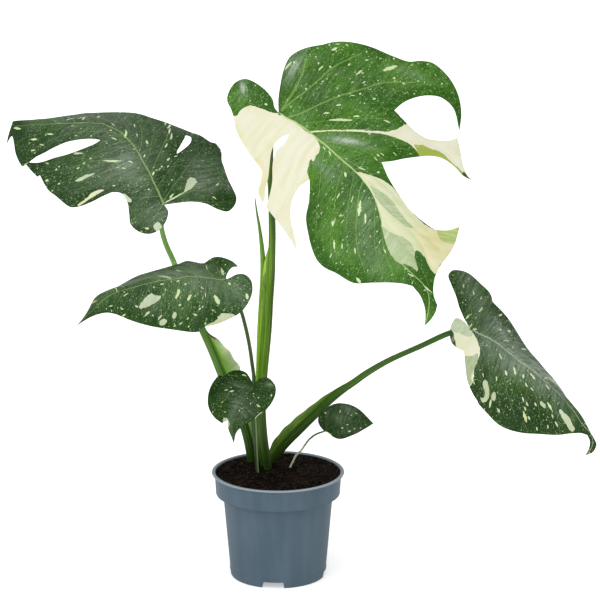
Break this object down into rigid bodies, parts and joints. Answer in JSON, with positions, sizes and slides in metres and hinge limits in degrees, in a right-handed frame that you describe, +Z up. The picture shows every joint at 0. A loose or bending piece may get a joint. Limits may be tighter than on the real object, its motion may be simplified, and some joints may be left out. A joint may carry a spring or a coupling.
{
  "type": "potted monstera",
  "caption": "Potted monstera with split, cream-speckled leaves on long stalks, in a round plastic nursery pot with a stepped rim.",
  "frame": {"origin": "centre of the pot's underside, on the surface it stands on", "axes": "+Z up along the pot's axis; +X to the right in the front view, towards the single low leaf on a leaning stalk; -Y towards the viewer at the front"},
  "size_m": [0.6586, 0.2885, 0.6042],
  "materials": {
    "pot": "satin grey-blue moulded plastic",
    "soil": "rough dark potting soil",
    "stalk": "smooth green plant stalk",
    "blade": "waxy green leaf with cream speckles and patches"
  },
  "bodies": {
    "root": {"pot": "pot", "soil": "soil", "petiole_top": "stalk", "leaf_top": "blade", "spear": "stalk", "petiole_left": "stalk", "leaf_left": "blade", "petiole_middle": "stalk", "leaf_middle": "blade", "petiole_front": "stalk", "leaf_front": "blade", "petiole_right": "stalk", "leaf_right": "blade", "petiole_small": "stalk", "leaf_small": "blade"}
  },
  "joints": []
}
